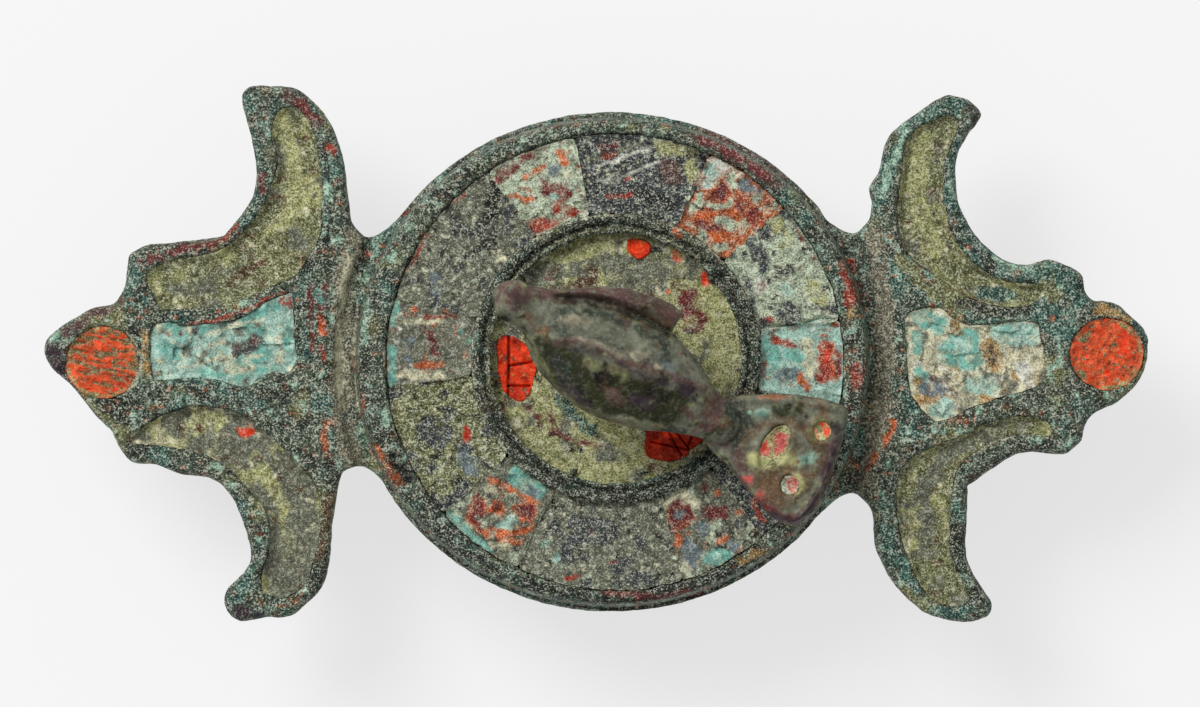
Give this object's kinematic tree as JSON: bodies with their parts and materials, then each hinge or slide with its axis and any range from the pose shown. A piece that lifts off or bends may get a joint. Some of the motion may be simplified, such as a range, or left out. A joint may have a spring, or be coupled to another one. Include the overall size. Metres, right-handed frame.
{
  "type": "enamelled brooch",
  "caption": "Cast bronze plate brooch with a round enamelled disc, two horned arms, a standing bird and a hinged pin behind.",
  "frame": {"origin": "middle of the brooch's outer box seen from the front, on the surface that its lugs and catch rest on", "axes": "+X along the arms towards the catch, +Y towards the upper horns, +Z out of the enamelled front"},
  "size_m": [0.0552, 0.0268, 0.0163],
  "materials": {
    "patinated_bronze": "matt green-grey patina with brown, teal and red patches",
    "dark_bronze": "dark waxed olive and purple-brown patina",
    "horn_enamel": "decayed enamel, rough olive",
    "turquoise_glass": "broken opaque turquoise glass",
    "red_enamel": "opaque orange-red enamel, cracked",
    "chequer_glass": "patterned glass, red, rust, pale green and blue",
    "field_glass": "weathered grey-blue and pale green glass",
    "middle_enamel": "decayed enamel, pale olive"
  },
  "bodies": {
    "brooch": {"plate": "patinated_bronze", "bird": "dark_bronze", "hinge_axle": "dark_bronze", "horn_left_upper": "horn_enamel", "horn_left_lower": "horn_enamel", "horn_right_upper": "horn_enamel", "horn_right_lower": "horn_enamel", "turquoise_left": "turquoise_glass", "turquoise_right": "turquoise_glass", "terminal_left": "red_enamel", "terminal_right": "red_enamel", "chequer_1": "chequer_glass", "chequer_3": "chequer_glass", "chequer_5": "chequer_glass", "chequer_7": "chequer_glass", "chequer_9": "chequer_glass", "chequer_11": "chequer_glass", "field_2": "field_glass", "field_4": "field_glass", "field_6": "field_glass", "field_8": "field_glass", "field_10": "field_glass", "field_12": "field_glass", "middle_field": "middle_enamel", "red_spot_left": "red_enamel", "red_spot_lower": "red_enamel", "red_spot_upper": "red_enamel", "tail_oval": "red_enamel", "tail_dot_near": "red_enamel", "tail_dot_far": "red_enamel"},
    "pin": {"pin": "dark_bronze"}
  },
  "joints": [
    {"name": "pin_swing", "type": "hinge", "parent": "brooch", "child": "pin", "pos_m": [-0.0105, 0, 0.0016], "axis": [0, 1, 0], "range_deg": [0, 80]}
  ]
}
